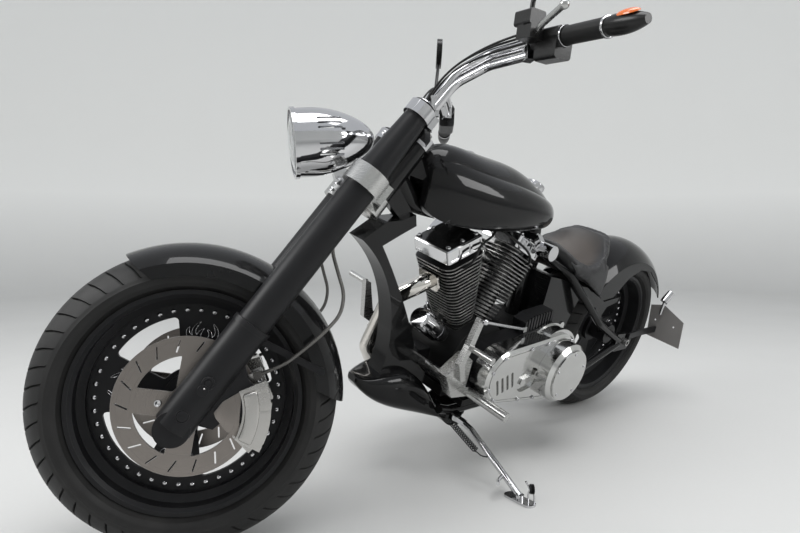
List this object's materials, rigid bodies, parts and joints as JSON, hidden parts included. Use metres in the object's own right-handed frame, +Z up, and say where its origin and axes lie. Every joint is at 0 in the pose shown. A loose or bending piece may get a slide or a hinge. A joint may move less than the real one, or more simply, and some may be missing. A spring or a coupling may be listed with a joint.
{
  "type": "chopper motorcycle",
  "caption": "Long, low chopper with a raked fork, fat tyres, finned V-twin, dished solo seat and side-mounted plate, leaning on its side stand.",
  "frame": {"origin": "on the ground, under the centre of the bounding box of the parked machine", "axes": "+X forward, +Y to the machine's left, which is the side it leans to, +Z up"},
  "size_m": [2.2486, 1.085, 1.3318],
  "materials": {
    "aluminium": "satin",
    "chrome": "polished",
    "engine_black": "matte",
    "gloss_black": "gloss",
    "leather": "satin",
    "lens": "clear",
    "plastic": "gloss",
    "plate_grey": "matte",
    "rubber": "satin",
    "satin_black": "satin",
    "steel": "brushed",
    "tyre": "matte"
  },
  "bodies": {
    "machine": {"air_cleaner": "chrome", "carburettor": "aluminium", "clutch_cover": "chrome", "crankcase": "engine_black", "drive_belt": "rubber", "frame_backbone": "gloss_black", "frame_down_member": "gloss_black", "frame_rear": "gloss_black", "front_cylinder": "engine_black", "front_exhaust": "chrome", "front_rocker_box": "chrome", "fuel_tank": "gloss_black", "ignition_switch": "chrome", "inner_primary": "satin_black", "left_control": "aluminium", "oil_filter": "chrome", "oil_tank": "gloss_black", "plate": "plate_grey", "plate_bracket": "satin_black", "plate_light": "chrome", "primary_cover": "chrome", "pushrod_covers": "chrome", "rear_axle": "steel", "rear_cylinder": "engine_black", "rear_exhaust": "chrome", "rear_fender": "gloss_black", "rear_rocker_box": "chrome", "right_control": "aluminium", "seat": "leather", "shift_rod": "chrome", "starter_cover": "satin_black", "transmission": "engine_black"},
    "steering": {"bar_end_signals": "plastic", "brake_hose_left": "rubber", "brake_hose_right": "rubber", "fender_stays": "chrome", "fork_sliders": "satin_black", "fork_tubes": "satin_black", "front_axle": "steel", "front_calipers": "aluminium", "front_fender": "gloss_black", "grips": "rubber", "hand_levers": "aluminium", "handlebar": "chrome", "headlight_bracket": "chrome", "headlight_lens": "lens", "headlight_shell": "chrome", "master_cylinders": "plastic", "mirrors": "plastic", "steering_stem": "steel", "switch_housings": "plastic", "triple_clamp_lower": "aluminium", "triple_clamp_upper": "chrome"},
    "front_wheel": {"front_brake_discs": "steel", "front_rim": "satin_black", "front_tyre": "tyre"},
    "rear_wheel": {"rear_pulley": "satin_black", "rear_rim": "satin_black", "rear_tyre": "tyre"},
    "side_stand": {"side_stand": "chrome"}
  },
  "joints": [
    {"name": "steering", "type": "hinge", "parent": "machine", "child": "steering", "pos_m": [0.78807, -0.245, 0.29637], "axis": [-0.5762, 0.2504, 0.778], "range_deg": [0, 68]},
    {"name": "front_wheel_spin", "type": "hinge", "parent": "steering", "child": "front_wheel", "pos_m": [0.82192, -0.26435, 0.32767], "axis": [0.4579, 0.8874, 0.0535], "continuous": true},
    {"name": "rear_wheel_spin", "type": "hinge", "parent": "machine", "child": "rear_wheel", "pos_m": [-0.79107, -0.2347, 0.3231], "axis": [0.001, 0.9521, -0.3057], "continuous": true},
    {"name": "side_stand_fold", "type": "hinge", "parent": "machine", "child": "side_stand", "pos_m": [0.05955, -0.16151, 0.14178], "axis": [-0.0032, 0.3057, 0.9521], "range_deg": [0, 84]}
  ]
}
